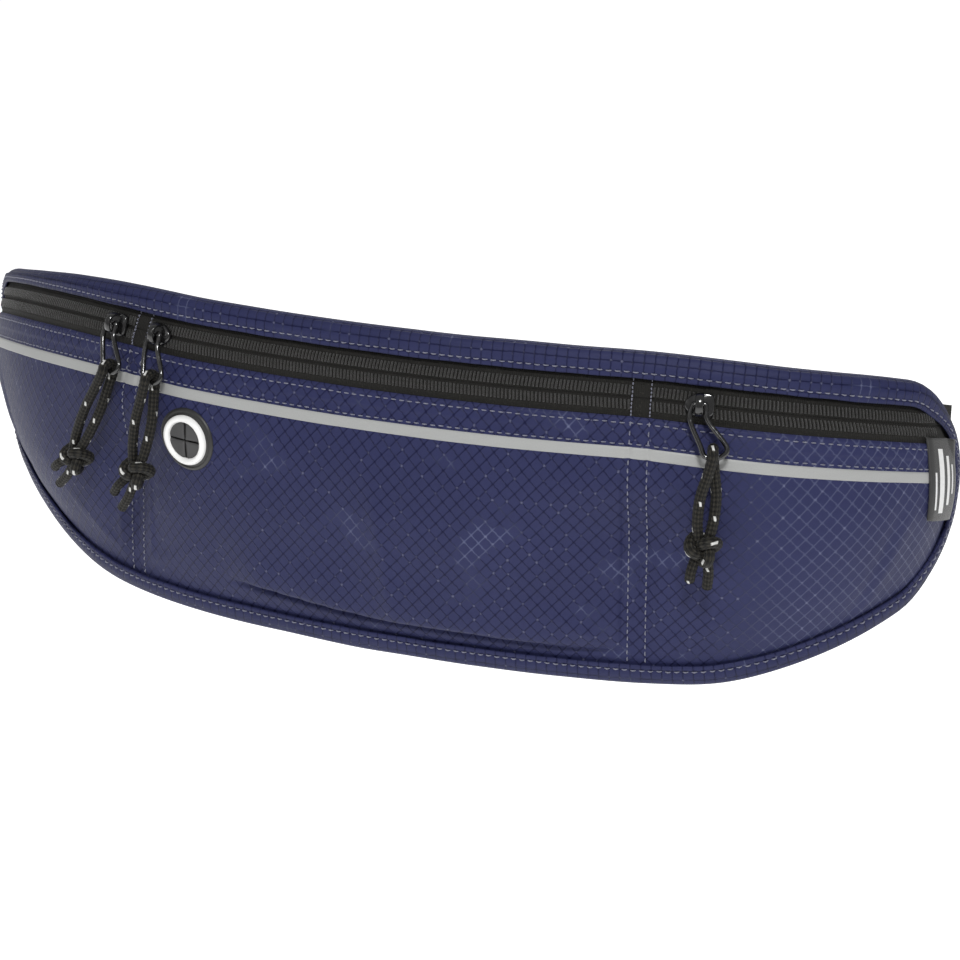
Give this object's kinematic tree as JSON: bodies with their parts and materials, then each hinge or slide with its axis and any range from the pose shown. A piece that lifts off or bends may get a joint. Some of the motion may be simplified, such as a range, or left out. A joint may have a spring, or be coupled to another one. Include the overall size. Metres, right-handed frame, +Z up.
{
  "type": "waist bag",
  "caption": "curved running waist bag with three zip pockets, reflective strip, cable port, cord zip pullers and a buckled elastic belt",
  "frame": {"origin": "on the back face at the middle of the bag, where it lies against the body", "axes": "+Z up, the front faces -Y, +X is to the right of someone who looks at the front"},
  "size_m": [0.3778, 0.1005, 0.1167],
  "materials": {
    "ripstop": "navy recycled polyester ripstop with a diamond grid, slight sheen",
    "reflective": "grey reflective tape, satin",
    "zip_tape": "black woven zip tape",
    "zip_coil": "black nylon coil",
    "thread": "navy polyester thread",
    "air_mesh": "black spacer mesh",
    "foam": "grey closed-cell foam",
    "lining": "black lining cloth",
    "port_flange": "black rubbery flange",
    "port_ring": "white moulded ring",
    "port_rubber": "dark grey soft rubber",
    "label": "black woven label",
    "webbing": "black elastic webbing",
    "keeper": "black elastic",
    "buckle": "black acetal, fine matte texture",
    "black_metal": "glossy black paint",
    "cord": "black braided cord with reflective flecks"
  },
  "bodies": {
    "bag": {"front_left": "ripstop", "front_centre": "ripstop", "front_right": "ripstop", "divider_left": "ripstop", "divider_right": "ripstop", "zip_facing": "ripstop", "edge_binding": "ripstop", "reflective_strip": "reflective", "zip_tape_upper": "zip_tape", "zip_tape_lower": "zip_tape", "zip_coil_left": "zip_coil", "zip_coil_centre": "zip_coil", "zip_coil_right": "zip_coil", "zip_stop_1": "thread", "zip_stop_2": "thread", "zip_stop_3": "thread", "zip_stop_4": "thread", "back_mesh": "air_mesh", "back_foam": "foam", "lining": "lining", "port_flange": "port_flange", "port_ring": "port_ring", "port_membrane": "port_rubber", "side_label": "label", "belt_left": "webbing", "belt_right": "webbing", "buckle_socket": "buckle"},
    "slider_left": {"slider_left": "black_metal"},
    "pull_left": {"pull_left": "black_metal"},
    "cord_left": {"pull_cord_left": "cord", "pull_knot_left": "cord"},
    "slider_centre": {"slider_centre": "black_metal"},
    "pull_centre": {"pull_centre": "black_metal"},
    "cord_centre": {"pull_cord_centre": "cord", "pull_knot_centre": "cord"},
    "slider_right": {"slider_right": "black_metal"},
    "pull_right": {"pull_right": "black_metal"},
    "cord_right": {"pull_cord_right": "cord", "pull_knot_right": "cord"},
    "plug": {"buckle_plug": "buckle"},
    "keeper": {"belt_keeper": "keeper"}
  },
  "joints": [
    {"name": "zip_left", "type": "hinge", "parent": "bag", "child": "slider_left", "pos_m": [-0.04791, 0.15252, -0.03008], "axis": [-0.1033, -0.4159, -0.9035], "range_deg": [0, 28.4]},
    {"name": "pull_swing_left", "type": "hinge", "parent": "slider_left", "child": "pull_left", "pos_m": [-0.09546, 0.00042, 0.04551], "axis": [-0.9536, 0.301, 0], "range_deg": [0, 110]},
    {"name": "cord_swing_left", "type": "hinge", "parent": "pull_left", "child": "cord_left", "pos_m": [-0.09303, -0.00791, 0.03099], "axis": [-0.9605, 0.2782, 0], "range_deg": [0, 90], "deforming": ["pull_cord_left"]},
    {"name": "zip_centre", "type": "hinge", "parent": "bag", "child": "slider_centre", "pos_m": [0.00137, 0.45385, 0.04381], "axis": [0.0001, 0.0011, 1], "range_deg": [0, 20.4]},
    {"name": "pull_swing_centre", "type": "hinge", "parent": "slider_centre", "child": "pull_centre", "pos_m": [-0.07548, -0.00475, 0.04563], "axis": [-0.9781, 0.208, 0], "range_deg": [0, 110]},
    {"name": "cord_swing_centre", "type": "hinge", "parent": "pull_centre", "child": "cord_centre", "pos_m": [-0.07377, -0.01251, 0.0311], "axis": [-0.9826, 0.1859, 0], "range_deg": [0, 90], "deforming": ["pull_cord_centre"]},
    {"name": "zip_right", "type": "hinge", "parent": "bag", "child": "slider_right", "pos_m": [0.09124, 0.09582, 0.01828], "axis": [0.0036, 0.2656, 0.9641], "range_deg": [-5.5, 38.5]},
    {"name": "pull_swing_right", "type": "hinge", "parent": "slider_right", "child": "pull_right", "pos_m": [0.11704, 0.0032, 0.04442], "axis": [-0.9605, -0.2782, 0], "range_deg": [0, 110]},
    {"name": "cord_swing_right", "type": "hinge", "parent": "pull_right", "child": "cord_right", "pos_m": [0.12376, -0.00231, 0.02985], "axis": [-0.9528, -0.3036, 0], "range_deg": [0, 90], "deforming": ["pull_cord_right"]},
    {"name": "buckle_release", "type": "slide", "parent": "bag", "child": "plug", "axis": [1, 0, 0], "range_m": [0, 0.022], "deforming": ["belt_right"]},
    {"name": "keeper_slide", "type": "slide", "parent": "bag", "child": "keeper", "axis": [1, 0, 0], "range_m": [-0.028, 0.008]}
  ]
}
